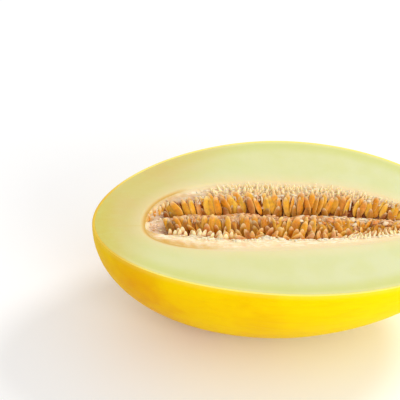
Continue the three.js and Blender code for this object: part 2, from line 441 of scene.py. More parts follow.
def fleshMaterial():
    material, tree, shader = newMaterial("fleshCut")
    links, look = tree.links, fleshLook
    place = placeNode(tree)
    inward = attributeNode(tree, "inward")  # mm from the rind
    toCore = attributeNode(tree, "toCore")  # mm from the cavity
    slant = addNode(tree, "ShaderNodeVectorMath", operation="DOT_PRODUCT")
    links.new(place, slant.inputs[0])
    slant.inputs[1].default_value = look["slant"]
    lightSlant = slant.outputs["Value"]
    cloud = placeGroup(tree, mottle, place, scale=55.0, low=0.35, high=0.7)
    fibres = placeGroup(tree, streaks, place, stretch=(160.0, 520.0, 520.0), detail=5.0, low=0.45, high=0.75)
    pastTip = rangeNode(tree, lightSlant, -0.085, -0.045, 0.15, 1.0)
    edgeCream = mathNode(tree, "MULTIPLY", rangeNode(tree, toCore, 0.2, 3.6, 1.0, 0.0), pastTip)
    # painted light: the ground turns paler up the slant, where more light falls
    ground = mixColor(tree, rangeNode(tree, lightSlant, -0.03, 0.08), look["main"], look["light"])
    ground = layers(tree, ground, look, [
        ("green", rangeNode(tree, inward, 3.5, 13.0, 1.0, 0.0), 0.75),
        ("rim", rangeNode(tree, inward, 0.4, 2.8, 1.0, 0.0), 0.8),
        # painted shade: warmer and darker at the low end of the slant
        ("warm", rangeNode(tree, lightSlant, -0.1, -0.05, 0.74, 0.0), 1),
        ("ochre", rangeNode(tree, splitNode(tree, place)["X"], -0.112, -0.094, 1.0, 0.0), 0.8),
        ("green", cloud, 0.3),
        ("cream", rangeNode(tree, toCore, 0.0, 13.0, 1.0, 0.0), 0.5),
        ("cream", edgeCream, 1),
        ("light", fibres, 0.12),
        ("halo", attributeNode(tree, "halo"), 0.8),
        # painted shadow along the cavity's left edges and round its tip
        ("shadowOchre", attributeNode(tree, "shadowOchre"), 0.95),
        ("vein", attributeNode(tree, "vein"), 0.35),
    ])
    links.new(ground, shader.inputs["Base Color"])
    wet = placeGroup(tree, mottle, place, scale=210.0, low=0.3, high=0.7)
    links.new(rangeNode(tree, wet, 0.0, 1.0, 0.32, 0.5), shader.inputs["Roughness"])
    grain = addNode(tree, "ShaderNodeTexNoise", {"Scale": 1100.0, "Detail": 4.0, "Roughness": 0.6})
    links.new(place, grain.inputs["Vector"])
    height = mathNode(tree, "ADD", grain.outputs["Fac"], scaled(tree, fibres, 0.5))
    bumpNode(tree, shader, height, 0.18, 0.0005)
    setInputs(shader, {
        "Subsurface Weight": 0.22, "Subsurface Radius": (0.0012, 0.001, 0.0005),
        "Subsurface Scale": 1.0, "IOR": 1.38, "Specular IOR Level": 0.3,
    })
    return material


def makeFlesh():
    angle = np.linspace(0, 2 * math.pi, fleshLook["steps"], endpoint=False)
    inset = body["rindThickness"] + fleshLook["seam"]
    hidden, atWall = 50.0, 40.0  # mm that stand for far from the cavity and far from the rind
    rings, inward, toCore = [], [], []

    def keep(ring, fromRind, fromCore):
        rings.append(ring)
        inward.append(np.broadcast_to(fromRind, len(ring)))
        toCore.append(np.broadcast_to(fromCore, len(ring)))

    for drop in np.linspace(math.pi / 2, 0.01, 40)[1:]:
        keep(bodyRing(inset, angle, drop), 0.0, hidden)
    outer = bodyRing(inset, angle, 0)
    inner = cavityRing(0, angle, 0)
    for share in np.linspace(0, 1, fleshLook["faceRings"]):
        share = 0.5 - 0.5 * math.cos(math.pi * share)  # closer together at both edges
        ring = outer + (inner - outer) * share
        fromRind = np.linalg.norm(ring - outer, axis=1)
        fromCore = np.linalg.norm(ring - inner, axis=1)
        dip = fleshLook["dish"] * smoothStep(0, 0.02, fromRind) * smoothStep(0, 0.01, fromCore)
        waves = noiseField(ring * np.array([0.5, 1, 1]), 0.03, 9) * fleshLook["wave"]
        waves = waves * smoothStep(0, 0.006, fromRind) * smoothStep(0, 0.006, fromCore)
        edge = 1 - smoothStep(0, fleshLook["shoulderWidth"], fromCore)
        ring[:, 2] += waves - dip - edge ** 2 * fleshLook["shoulder"]
        keep(ring, fromRind / mm, fromCore / mm)
    for drop in np.linspace(0, math.pi / 2, fleshLook["wallRings"] + 1)[1:-1]:
        ring = cavityRing(0, angle, drop)
        ring[:, 2] = np.minimum(ring[:, 2], faceZ - fleshLook["shoulder"] - 0.1 * mm)
        keep(ring, atWall, 0.0)
    verts, faces = ringSkin(rings)
    inward = np.concatenate([[0.0], *inward, [atWall]])
    toCore = np.concatenate([[hidden], *toCore, [0.0]])

    # stains, in mm: side is how far a spot is across, once the cavity's width is made even
    x = verts[:, 0] / mm
    aside = (verts[:, 1] - middleLine(verts[:, 0])) / mm
    side = aside / np.maximum(cavityShare(np.clip(verts[:, 0] / cavity["halfLength"], -1, 1)), 0.02)
    wobble = 0.8 * noiseField(verts, 0.01, 31)
    vein = between(np.abs(x), (84, 86), (100, 108)) * (1 - smoothStep(0.2, 1.1, np.abs(aside)))
    nearLeft = between(x, (-88, -80), (-62, -38))  # the cavity's old edge shows outside the opening
    halo = nearLeft * smoothStep(-33, -31.8, side + wobble) * (1 - smoothStep(-30, -26, side))
    # painted shadow: ochre lines along the cavity's near and far edges and round its left tip
    shadowOchre = 0.9 * nearLeft * np.exp(-((side + 0.4 * wobble + 31.7) / 0.9) ** 2)
    shadowOchre += 0.8 * between(x, (-88, -83), (-80, -64)) * np.exp(-((side + wobble - 32.4) / 1.6) ** 2)
    roundTip = np.exp(-((toCore + 0.5 * wobble - 0.6) / 1.5) ** 2)
    shadowOchre = np.maximum(shadowOchre, (1 - smoothStep(-66, -52, x)) * roundTip)
    return makeObject("fleshCut", verts, faces, fleshMaterial(), {
        "inward": inward, "toCore": toCore, "vein": vein, "halo": halo, "shadowOchre": shadowOchre,
    })


# Pulp bed

pulpLook = {
    "alongSteps": 300,
    "acrossSteps": 130,
    # section in mm, from the far wall to the near one: across, height, how amber it is; the amber is partly
    # the seed bed's own tone and partly painted shade in the gaps between the seeds
    "section": [
        (30.9, -0.9, 0.0), (29.2, -0.9, 0.05), (25.8, -1.2, 0.22), (21, -1.7, 0.4), (19.2, -2.2, 0.6),
        (17.4, -3.6, 0.9), (10.4, -11, 1.0), (7, -10.4, 0.9), (4.8, -6.4, 0.7), (3.3, -3.8, 0.48),
        (0.4, -2.9, 0.42), (-1.6, -4.4, 0.6), (-7.6, -12.6, 1.0), (-12, -14.6, 1.0),
        (-16, -13.4, 0.9), (-20.4, -5.6, 0.5), (-22.4, -2, 0.1), (-24.4, -0.9, 0.0),
        (-29.6, -0.7, 0.0), (-30.9, -0.9, 0.0),
    ],
    "seam": 0.015 * mm,
    "edgeDrop": 0.6 * mm,
    "lump": 0.55 * mm,
    "grain": 0.25 * mm,
    "cream": srgb(246, 222, 170),
    "white": srgb(255, 242, 212),
    "pink": srgb(234, 184, 138),
    # dark amber of the seed bed, deepened as painted shade for the gaps between the seeds
    "amber": srgb(150, 72, 6),
    "edge": srgb(238, 215, 166),
    # painted shadow: ochre along the cavity's edges at the left end
    "shadowOchre": srgb(218, 166, 70),
    "rosy": srgb(230, 200, 174),
}


def cavityShare(v):
    return fullness(v, cavity["roundness"], cavity["swell"])


def wander(x, across):
    # the bunches of seeds and the crest between them run a little askew in the cavity; gives
    # where a spot of the middle section, in mm, has moved to at x
    along = x / mm
    sway = 1.5 * noise.noise(Vector((along / 15, 3.3, 0.7)))
    near = 0.5 - 0.045 * along + 3 * math.exp(-((along + 12) / 8) ** 2)
    near += 2.2 * math.exp(-((along + 58) / 18) ** 2)
    crest = -1.2 - 0.072 * along + sway
    far = 0.2 + (4 if along < 0 else 2.5) * (along / 60) ** 2 + 0.5 * sway
    far -= 4 * math.exp(-((along + 54) / 9) ** 2)
    return across + np.interp(across, (-30.9, -22, 2, 15, 30.9), (0, near, crest, far, 0))


def bedProfile(x, across, column):
    # value of one column of the section at x: 1 is the height in mm, 2 the amber
    section = np.array(pulpLook["section"])[::-1]
    return np.interp(across, wander(x, section[:, 0]), section[:, column])


def bedHeight(x, across):
    # height of the pulp's top in the middle section, in mm
    across = np.asarray(across, float)
    crest = np.exp(-((across - wander(x, 1.0)) / 3.2) ** 2)
    return bedProfile(x, across, 1) + crest * (1.1 * noise.noise(Vector((x / (7 * mm), 9.1, 0.2))) - 0.1)


def sectionPoint(x, across, height):
    # a spot of the middle section, in mm, moved along the cavity and scaled with it
    share = float(cavityShare(np.array(x / cavity["halfLength"])))
    z = height * share if height < 0 else height
    return Vector((x, float(middleLine(np.array(x))) + across * mm * share, faceZ + z * mm)), share


def pulpMaterial():
    material, tree, shader = newMaterial("pulpWet")
    links, look = tree.links, pulpLook
    place = placeNode(tree)
    cloud = placeGroup(tree, mottle, place, scale=190.0, low=0.35, high=0.65)
    threads = placeGroup(tree, streaks, place, stretch=(240.0, 900.0, 900.0), detail=4.0, low=0.42, high=0.62)
    ground = mixColor(tree, scaled(tree, cloud, 0.5), look["cream"], look["pink"])
    bands = [("white", threads, 0.85)]
    bands += [(color, attributeNode(tree, color), 1) for color in ("rosy", "edge", "shadowOchre", "amber")]
    links.new(layers(tree, ground, look, bands), shader.inputs["Base Color"])
    links.new(rangeNode(tree, cloud, 0.0, 1.0, 0.2, 0.42), shader.inputs["Roughness"])
    grain = addNode(tree, "ShaderNodeTexNoise", {"Scale": 1500.0, "Detail": 3.0})
    links.new(place, grain.inputs["Vector"])
    height = mathNode(tree, "ADD", threads, scaled(tree, grain.outputs["Fac"], 0.5))
    bumpNode(tree, shader, height, 0.25, 0.0005)
    setInputs(shader, {
        "Subsurface Weight": 0.25, "Subsurface Radius": (0.0012, 0.0007, 0.0004),
        "Subsurface Scale": 1.0, "IOR": 1.36, "Specular IOR Level": 0.35,
    })
    return material


def makePulp():
    width = cavity["halfWidth"] - pulpLook["seam"]
    reach = cavity["halfLength"] - pulpLook["seam"]
    level = faceZ - pulpLook["edgeDrop"]
    across = np.linspace(-width, width, pulpLook["acrossSteps"] + 1) / mm
    under = np.linspace(math.pi, 2 * math.pi, 26)[1:-1]
    kernel = np.array([1, 2, 3, 2, 1]) / 9
    xs = reach * np.sin(np.linspace(-math.pi / 2, math.pi / 2, pulpLook["alongSteps"] + 1))
    verts, amber = [], []
    for x in xs:
        share = float(cavityShare(np.array(x / reach)))
        middle = float(middleLine(np.array(x)))
        height = bedHeight(x, across)
        height[3:-3] = np.convolve(height, kernel, "same")[3:-3]
        verts.append(np.stack([
            np.full(across.shape, x), middle + across * mm * share, faceZ + height * mm * share,
        ], axis=-1))
        # amber where the seeds sit: partly the bed's tone, partly painted shade between the seeds
        amber.append(bedProfile(x, across, 2) * float(smoothStep(-76 * mm, -66 * mm, x)))
        verts.append(np.stack([
            np.full(under.shape, x),
            middle - width * share * np.cos(under),
            level + (cavity["depth"] - 2 * mm) * share * np.sin(under),
        ], axis=-1))
        amber.append(np.zeros(under.shape))
    verts, amber = np.concatenate(verts), np.concatenate(amber)
    count = len(across) + len(under)
    onTop = np.tile(np.arange(count) < len(across), len(xs))
    lumps = noiseField(verts * np.array([1.0, 0.8, 1.0]), 0.0045, 21)
    fine = noiseField(verts, 0.0018, 22)

    # masks: x and side in mm, side once the cavity's width is made even
    x, toEnd = verts[:, 0] / mm, np.abs(verts[:, 0]) / reach
    side = (verts[:, 1] - middleLine(verts[:, 0])) / np.maximum(cavityShare(verts[:, 0] / reach), 1e-3) / mm
    aside = np.abs(side)
    edge = np.maximum(smoothStep(27.5, 30.5, aside), smoothStep(0.95, 0.99, toEnd))
    ledge = smoothStep(21.5, 25, aside)
    joint = np.maximum(smoothStep(28.3, 30.9, aside), smoothStep(0.955, 0.995, toEnd))
    verts[:, 2] = np.where(onTop, verts[:, 2] * (1 - joint) + level * joint, verts[:, 2])
    strength = onTop * (1 - 0.6 * ledge) * (1 - joint)
    verts[:, 2] += (lumps * pulpLook["lump"] + fine * pulpLook["grain"]) * strength
    faces = []
    for k in range(len(xs) - 1):
        a, b = k * count, (k + 1) * count
        for i in range(count):
            j = (i + 1) % count
            faces.append((a + i, b + i, b + j, a + j))
    amber = np.clip(amber + 0.35 * lumps * (amber > 0.05), 0, 1)
    rosy = 0.8 * (1 - smoothStep(-74, -66, x)) * (1 - smoothStep(14, 20, np.abs(side - 3)))
    # painted shadow: ochre along both edges of the cavity and round its tip, at the left end
    band = 0.75 * smoothStep(22, 26.5, side) * (1 - smoothStep(-70, -52, x))
    band = band + smoothStep(23.5, 29, -side)
    tip = smoothStep(0.9, 0.97, -verts[:, 0] / reach) * smoothStep(12, 18, aside)
    shadowOchre = np.maximum(band, 1.2 * tip) * (1 - smoothStep(-62, -30, x)) * (0.65 + 0.5 * lumps)
    return makeObject("pulpBed", verts, faces, pulpMaterial(), {
        "amber": amber, "edge": edge, "shadowOchre": np.clip(shadowOchre, 0, 1), "rosy": rosy,
    }, sharpAngle=75)


# Seeds

seedLook = {
    "length": 11.4,
    "width": 4.9,
    "thickness": 2.0,
    "rings": 11,
    "sides": 14,
    "amber": srgb(234, 142, 18),
    "deepToneAndShade": srgb(138, 66, 4),
    "honey": srgb(253, 188, 54),
    # dark brown, for random tone and for painted shade on seeds deeper in the bunch
    "tip": srgb(255, 236, 192),
    "edge": srgb(255, 206, 120),
    "pink": srgb(230, 162, 100),
}

# Rows of seeds, in mm and degrees. across and height place the seeds' middles in the middle
# section, slope leans them from upright (0) back to lying (90), fan leans the row's ends
# outwards, the darkening value paints rows deeper in the bunch darker as painted shade, and
# pale turns them into cream points.
seedRows = {
    "far": [
        {"from": -72, "to": 78, "pitch": 4.0, "across": 15.6, "height": -5.2, "slope": 42, "fan": 30,
         "twist": 30, "jitter": 9, "deepToneAndShade": 0.85},
        {"from": -81, "to": -66, "pitch": 3.2, "across": 15.6, "height": -3.4, "slope": 30, "fan": 10,
         "twist": 40, "jitter": 9, "pale": 0.6, "size": 0.7},
        {"from": -67, "to": 80, "pitch": 4.1, "across": 13.6, "height": -4.3, "slope": 43, "fan": 30,
         "twist": 60, "jitter": 11, "size": 1.14},
        {"from": -60, "to": 74, "pitch": 7.4, "across": 16.2, "height": -2.6, "slope": 40, "fan": 30,
         "twist": 40, "jitter": 14, "deepToneAndShade": 0.05},
        {"from": -70, "to": 76, "pitch": 6.2, "across": 10.2, "height": -8.2, "slope": 48, "fan": 24,
         "twist": 40, "jitter": 22, "deepToneAndShade": 0.5},
        {"from": -56, "to": 76, "pitch": 3.0, "across": 19.2, "height": -4.2, "slope": 14, "fan": 22,
         "twist": 60, "jitter": 12, "deepToneAndShade": 0.3, "pale": 0.6, "slim": 0.6},
        {"from": -42, "to": 74, "pitch": 3.1, "across": 21.8, "height": -3.8, "slope": 10, "fan": 22,
         "twist": 40, "jitter": 13, "deepToneAndShade": 0.2, "pale": 1.0, "slim": 0.5},
        {"from": -40, "to": 68, "pitch": 3.1, "across": 24.2, "height": -3.7, "slope": 6, "fan": 22,
         "twist": 40, "jitter": 13, "deepToneAndShade": 0.1, "pale": 1.0, "slim": 0.48},
        {"from": -38, "to": 54, "pitch": 3.1, "across": 26.6, "height": -3.8, "slope": 4, "fan": 20,
         "twist": 40, "jitter": 13, "pale": 1.0, "slim": 0.45},
        {"from": -30, "to": 36, "pitch": 3.2, "across": 28.6, "height": -4.0, "slope": 2, "fan": 12,
         "twist": 40, "jitter": 12, "pale": 1.0, "slim": 0.42},
    ],
    "ridge": [
        {"from": -68, "to": 76, "pitch": 4.0, "across": -5.4, "height": -7.6, "slope": 42, "fan": 16,
         "twist": 30, "jitter": 12, "deepToneAndShade": 0.6},
        {"from": -69, "to": 40, "pitch": 4.4, "across": -4.2, "height": -6.0, "slope": 42, "fan": 12,
         "twist": 60, "jitter": 13, "size": 1.1},
        {"from": 24, "to": 78, "pitch": 4.2, "across": -3.6, "height": -5.4, "slope": 46, "fan": 10,
         "twist": 44, "jitter": 34},
        {"from": -62, "to": 76, "pitch": 7.4, "across": -9.4, "height": -8.4, "slope": 30, "fan": 16,
         "twist": 50, "jitter": 24, "deepToneAndShade": 0.2},
        {"from": 10, "to": 76, "pitch": 6.4, "across": -7.0, "height": -5.2, "slope": 56, "fan": 20,
         "twist": 36, "jitter": 50, "deepToneAndShade": 0.05, "size": 0.92},
    ],
    "near": [
        {"from": -68, "to": -32, "pitch": 3.9, "across": -17.2, "height": -5.4, "slope": 4, "fan": 8,
         "twist": 30, "jitter": 9, "pale": 0.85, "slim": 0.82},
        {"from": -67, "to": -36, "pitch": 3.6, "across": -20.2, "height": -5.2, "slope": -4, "fan": 8,
         "twist": 34, "jitter": 9, "pale": 1.0, "slim": 0.85},
        {"from": -36, "to": 36, "pitch": 5.0, "across": -14.4, "height": -7.0, "slope": 36, "fan": 10,
         "twist": 46, "jitter": 34, "deepToneAndShade": 0.15},
        {"from": -36, "to": 36, "pitch": 4.6, "across": -18.6, "height": -5.0, "slope": 30, "fan": 10,
         "twist": 46, "jitter": 60, "pale": 0.25, "slim": 0.9, "size": 0.9},
        {"from": 26, "to": 78, "pitch": 4.0, "across": -13.2, "height": -7.0, "slope": 40, "fan": -16,
         "twist": 46, "jitter": 44, "deepToneAndShade": 0.15, "slim": 0.95, "size": 0.92},
        {"from": 36, "to": 78, "pitch": 3.2, "across": -17.8, "height": -5.6, "slope": 18, "fan": -40,
         "twist": 40, "jitter": 10, "deepToneAndShade": 0.05, "pale": 0.5, "slim": 0.6},
        {"from": 32, "to": 76, "pitch": 3.0, "across": -21.4, "height": -4.6, "slope": 20, "fan": -50,
         "twist": 40, "jitter": 8, "pale": 0.9, "slim": 0.55},
        {"from": 28, "to": 72, "pitch": 3.0, "across": -25.0, "height": -4.2, "slope": 20, "fan": -50,
         "twist": 40, "jitter": 8, "pale": 1.0, "slim": 0.5},
    ],
}


def seedShape():
    # a flat drop, pointed at +Y, with its face to +Z and a fine raised edge
    rings, sides = seedLook["rings"], seedLook["sides"]
    verts, along, rim = [(0, -seedLook["length"] / 2, 0)], [-1.0], [0.0]
    faces = []
    for k in range(1, rings):
        y = -math.cos(math.pi * k / rings)
        width = (1 - abs(y) ** 2.3) ** 0.5 * (1 - 0.13 * y)
        thick = (1 - y * y) ** 0.42
        for i in range(sides):
            turn = 2 * math.pi * i / sides
            side, face = math.cos(turn), math.sin(turn)
            x = side * width * seedLook["width"] / 2
            z = face * abs(face) ** 0.15 * (1 - 0.25 * abs(side)) * thick * seedLook["thickness"] / 2
            verts.append((x, y * seedLook["length"] / 2, z))
            along.append(y)
            rim.append(abs(side) ** 5)
    verts.append((0, seedLook["length"] / 2, 0))
    along.append(1.0)
    rim.append(1.0)
    for i in range(sides):
        j = (i + 1) % sides
        faces.append((0, 1 + i, 1 + j))
        top = 1 + (rings - 2) * sides
        faces.append((len(verts) - 1, top + j, top + i))
        for k in range(rings - 2):
            a, b = 1 + k * sides, 1 + (k + 1) * sides
            faces.append((a + i, b + i, b + j, a + j))
    return np.array(verts, float) * mm, np.array(along), np.array(rim), faces


def seedPlaces(rows, draw):
    for row in rows:
        middle = (row["from"] + row["to"]) / 2
        half = (row["to"] - row["from"]) / 2
        x = row["from"]
        shade = draw.uniform(0, 40)
        while x <= row["to"]:
            seedX = x + draw.uniform(-0.25, 0.25) * row["pitch"]
            across = float(wander(seedX * mm, row["across"])) + draw.uniform(-0.8, 0.8)
            spot, share = sectionPoint(seedX * mm, across, row["height"])
            spot.z += draw.uniform(-0.8, 0.8) * mm
            sway = 14 * noise.noise(Vector((seedX / 11, shade, 0.5)))  # neighbours lean together
            lean = -row["fan"] * (seedX - middle) / half + draw.uniform(-1, 1) * row["jitter"] + sway
            slope = 90 - row["slope"] + draw.uniform(-0.5, 0.5) * row["jitter"]
            twist = draw.uniform(-1, 1) * row["twist"]
            size = row.get("size", 1.0) * (0.5 + 0.5 * share) * draw.uniform(0.88, 1.1)
            pose = Matrix.Translation(spot) @ Matrix.Rotation(math.radians(slope), 4, "X")
            pose = pose @ Matrix.Rotation(math.radians(lean), 4, "Z")
            pose = pose @ Matrix.Rotation(math.radians(twist), 4, "Y")
            slim = size * row.get("slim", 1.0) * draw.uniform(0.82, 1.1)
            yield pose @ Matrix.Diagonal((slim, size, size, 1)), row.get("deepToneAndShade", 0.0), row.get("pale", 0.0)
            x += row["pitch"] * draw.uniform(0.85, 1.15)


def seedMaterial():
    material, tree, shader = newMaterial("seedAmber")
    links, look = tree.links, seedLook
    place = placeNode(tree)
    along = attributeNode(tree, "along")
    tone = attributeNode(tree, "tone")
    cloud = placeGroup(tree, mottle, place, scale=420.0, low=0.35, high=0.7)
    point = scaled(tree, rangeNode(tree, along, 0.45, 0.95), 0.4)
    upper = mathNode(tree, "MULTIPLY", attributeNode(tree, "pale"), rangeNode(tree, along, -0.1, 0.65))
    ground = mixColor(tree, tone, look["amber"], look["honey"])
    ground = layers(tree, ground, look, [
        ("pink", rangeNode(tree, tone, 0.0, 0.22, 0.55, 0.0), 1),
        ("deepToneAndShade", cloud, 0.35),
        # painted shade: rows deeper in the bunch are painted darker
        ("deepToneAndShade", attributeNode(tree, "deepToneAndShade"), 1),
        ("edge", attributeNode(tree, "rim"), 0.45),
        ("tip", mathNode(tree, "MAXIMUM", point, upper), 1),
    ])
    links.new(ground, shader.inputs["Base Color"])
    links.new(rangeNode(tree, cloud, 0.0, 1.0, 0.18, 0.38), shader.inputs["Roughness"])
    grain = placeGroup(tree, streaks, place, stretch=(900.0, 900.0, 500.0), detail=3.0, low=0.4, high=0.7)
    bumpNode(tree, shader, grain, 0.3, 0.0003)
    setInputs(shader, {
        "Subsurface Weight": 0.3, "Subsurface Radius": (0.003, 0.0014, 0.0004),
        "Subsurface Scale": 1.0, "IOR": 1.42, "Specular IOR Level": 0.26,
    })
    return material


def makeSeeds(name, rows, seed, material):
    draw = random.Random(seed)
    shape, along, rim, shapeFaces = seedShape()
    verts, faces = [], []
    marks = {key: [] for key in ("along", "rim", "tone", "deepToneAndShade", "pale")}
    for pose, deepToneAndShade, pale in seedPlaces(rows, draw):
        start = len(verts) * len(shape)
        bend = draw.uniform(-0.05, 0.08)
        bent = shape.copy()
        bent[:, 2] += bend * (bent[:, 1] / mm) ** 2 * mm * 0.3
        verts.append(bent @ np.array(pose.to_3x3()).T + np.array(pose.translation))
        faces += [tuple(start + i for i in face) for face in shapeFaces]
        values = {
            "along": along, "rim": rim, "tone": draw.random(),
            "deepToneAndShade": min(1.0, max(0.0, deepToneAndShade + draw.uniform(-0.2, 0.26) * (1 - pale))),
            "pale": pale * draw.uniform(0.85, 1.0),
        }
        for key, value in values.items():
            marks[key].append(np.broadcast_to(value, len(shape)))
    marks = {key: np.concatenate(values) for key, values in marks.items()}
    return makeObject(name, np.concatenate(verts), faces, material, marks, sharpAngle=180)


# Bits and threads of pulp

crumbLook = {
    "rings": 6,
    "sides": 8,
    "cream": srgb(252, 230, 190),
    "pink": srgb(229, 174, 124),
    "amber": srgb(214, 132, 44),
    # mm: along, across, how many, size, height over the bed, and how cream they are
    "bands": [
        ((-68, 78), (-1.5, 4.5), 260, (0.6, 2.0), 0.5, (0.0, 0.3)),
        ((8, 52), (-1.0, 4.5), 34, (0.8, 2.2), 0.9, (0.4, 0.9)),
        ((-82, -68), (-16, 16), 60, (0.5, 1.3), 0.2, (0.3, 0.8)),
        ((-50, 76), (17.4, 20.2), 260, (0.7, 1.7), 1.4, (0.3, 0.85)),
        ((-50, 70), (20, 29.5), 240, (0.4, 0.9), 0.1, (0.7, 1)),
        ((-64, 74), (-25, -20.5), 200, (0.5, 1.3), 0.3, (0.7, 1)),
        ((14, 78), (-20, -2), 240, (0.8, 2.3), 4.0, (0, 0.7)),
        ((-64, 20), (-19, -9), 130, (0.7, 1.7), 3.6, (0, 0.7)),
        ((-66, 78), (5, 15), 130, (0.6, 1.4), 2.4, (0, 0.5)),
    ],
}
threadLook = {
    "steps": 12,
    "sides": 5,
    # mm: along, across, how many, length, thickness, height over the bed, and how cream they are
    "bands": [
        ((-66, 74), (-1.5, 4.0), 90, (5, 16), (0.14, 0.34), 0.5, (0.0, 0.5)),
        ((-82, -68), (-16, 20), 60, (5, 14), (0.14, 0.34), 0.4, (0.3, 0.8)),
        ((-50, 74), (17.6, 21), 50, (4, 11), (0.14, 0.3), 0.7, (0.2, 0.8)),
        ((-64, 74), (-24, -20), 50, (5, 14), (0.15, 0.35), 0.5, (0.5, 1)),
        ((20, 74), (-12, 2), 46, (5, 15), (0.2, 0.5), 3.4, (0.3, 0.9)),
    ],
    # threads that hang over the seeds, in groups: where, how many, from and to in the section
    "veils": [
        ((-50, -36, -22, -9, 6, 10, 27, 43, 58), 7, (19.3, -0.5), (13.2, -6.0)),
        ((-55, -30, -12, 18, 33, 50), 6, (1.2, -2.2), (-4.8, -8.0)),
    ],
}


def shredMaterial():
    material, tree, shader = newMaterial("pulpShred")
    links = tree.links
    cream = attributeNode(tree, "cream")
    ground = mixColor(tree, rangeNode(tree, cream, 0.0, 0.45), crumbLook["amber"], crumbLook["pink"])
    ground = mixColor(tree, rangeNode(tree, cream, 0.35, 0.9), ground, crumbLook["cream"])
    cloud = placeGroup(tree, mottle, placeNode(tree), scale=600.0, low=0.35, high=0.7)
    ground = mixColor(tree, scaled(tree, cloud, 0.3), ground, pulpLook["white"])
    links.new(ground, shader.inputs["Base Color"])
    links.new(rangeNode(tree, cloud, 0.0, 1.0, 0.2, 0.4), shader.inputs["Roughness"])
    bumpNode(tree, shader, cloud, 0.3, 0.0003)
    setInputs(shader, {
        "Subsurface Weight": 0.3, "Subsurface Radius": (0.003, 0.0015, 0.0006),
        "Subsurface Scale": 1.0, "IOR": 1.36, "Specular IOR Level": 0.4,
    })
    return material


def crumbShape():
    # a small round lump of radius 1
    rings, sides = crumbLook["rings"], crumbLook["sides"]
    verts, faces = [(0.0, 0.0, -1.0)], []
    for k in range(1, rings):
        level = math.pi * k / rings
        for i in range(sides):
            turn, wide = 2 * math.pi * i / sides, math.sin(level)
            verts.append((wide * math.cos(turn), wide * math.sin(turn), -math.cos(level)))
    verts.append((0.0, 0.0, 1.0))
    top = 1 + (rings - 2) * sides
    for i in range(sides):
        j = (i + 1) % sides
        faces.append((0, 1 + j, 1 + i))
        faces.append((len(verts) - 1, top + i, top + j))
        for k in range(rings - 2):
            a, b = 1 + k * sides, 1 + (k + 1) * sides
            faces.append((a + i, a + j, b + j, b + i))
    return np.array(verts), faces


def makeCrumbs(material):
    draw = random.Random(61)
    unit, shapeFaces = crumbShape()
    verts, faces, tones = [], [], []
    for alongSpan, acrossSpan, number, sizes, lift, cream in crumbLook["bands"]:
        for _ in range(number):
            x, across = draw.uniform(*alongSpan), draw.uniform(*acrossSpan)
            across = float(wander(x * mm, across))
            height = float(bedHeight(x * mm, across)) + draw.uniform(0, 1) * lift
            spot, share = sectionPoint(x * mm, across, min(height, -0.2))
            size = draw.uniform(*sizes) * mm * (0.5 + 0.5 * share)
            lumpy = 1 + 0.35 * noiseField(unit, 0.9, draw.uniform(1, 50))
            stretch = np.array([draw.uniform(0.8, 1.9), draw.uniform(0.6, 1), 0.6])
            turn = np.array(Matrix.Rotation(draw.uniform(-0.6, 0.6), 3, "Z")
                            @ Matrix.Rotation(draw.uniform(-0.5, 0.5), 3, "X"))
            start = len(verts) * len(unit)
            verts.append((unit * lumpy[:, None] * stretch * size) @ turn.T + np.array(spot))
            faces += [tuple(start + i for i in face) for face in shapeFaces]
            tones.append(np.full(len(unit), draw.uniform(*cream)))
    return makeObject("pulpCrumbs", np.concatenate(verts), faces, material,
                      {"cream": np.concatenate(tones)}, sharpAngle=180)


def addTube(verts, faces, rings):
    # rings of points, one after another, become one closed thread
    start, sides = len(verts), threadLook["sides"]
    for k in range(len(rings) - 1):
        a, b = start + k * sides, start + (k + 1) * sides
        for i in range(sides):
            j = (i + 1) % sides
            faces.append((a + i, a + j, b + j, b + i))
    faces.append(tuple(start + i for i in reversed(range(sides))))
    faces.append(tuple(start + (len(rings) - 1) * sides + i for i in range(sides)))
    verts += [point for ring in rings for point in ring]


def lyingThread(draw, alongSpan, acrossSpan, lengths, radii, lift):
    # along the bed, a little wavy, thinner at both ends
    steps, sides = threadLook["steps"], threadLook["sides"]
    x, across = draw.uniform(*alongSpan), draw.uniform(*acrossSpan)
    length, radius = draw.uniform(*lengths), draw.uniform(*radii) * mm
    drift, bow = draw.uniform(-0.25, 0.25), draw.uniform(-0.8, 0.8)
    lift, phase = draw.uniform(0, 1) * lift, draw.uniform(0, 6.28)
    rings = []
    for k in range(steps + 1):
        t = k / steps - 0.5
        px = max(-83.0, min(83.0, x + t * length))
        pa = across + drift * t * length + bow * math.sin(3.2 * t + phase) + 0.2 * math.sin(11 * t + phase)
        pa = float(wander(px * mm, pa))
        height = float(bedHeight(px * mm, pa)) + lift * (1 - (2 * t) ** 2) + 0.25 * math.sin(9 * t + phase)
        spot, share = sectionPoint(px * mm, pa, min(height, -0.1))
        thick = radius * (0.25 + 0.75 * (1 - (2 * t) ** 4)) * (0.6 + 0.4 * share)
        turns = [2 * math.pi * i / sides for i in range(sides)]
        rings.append([(spot.x, spot.y + thick * math.cos(a), spot.z + thick * math.sin(a)) for a in turns])
    return rings


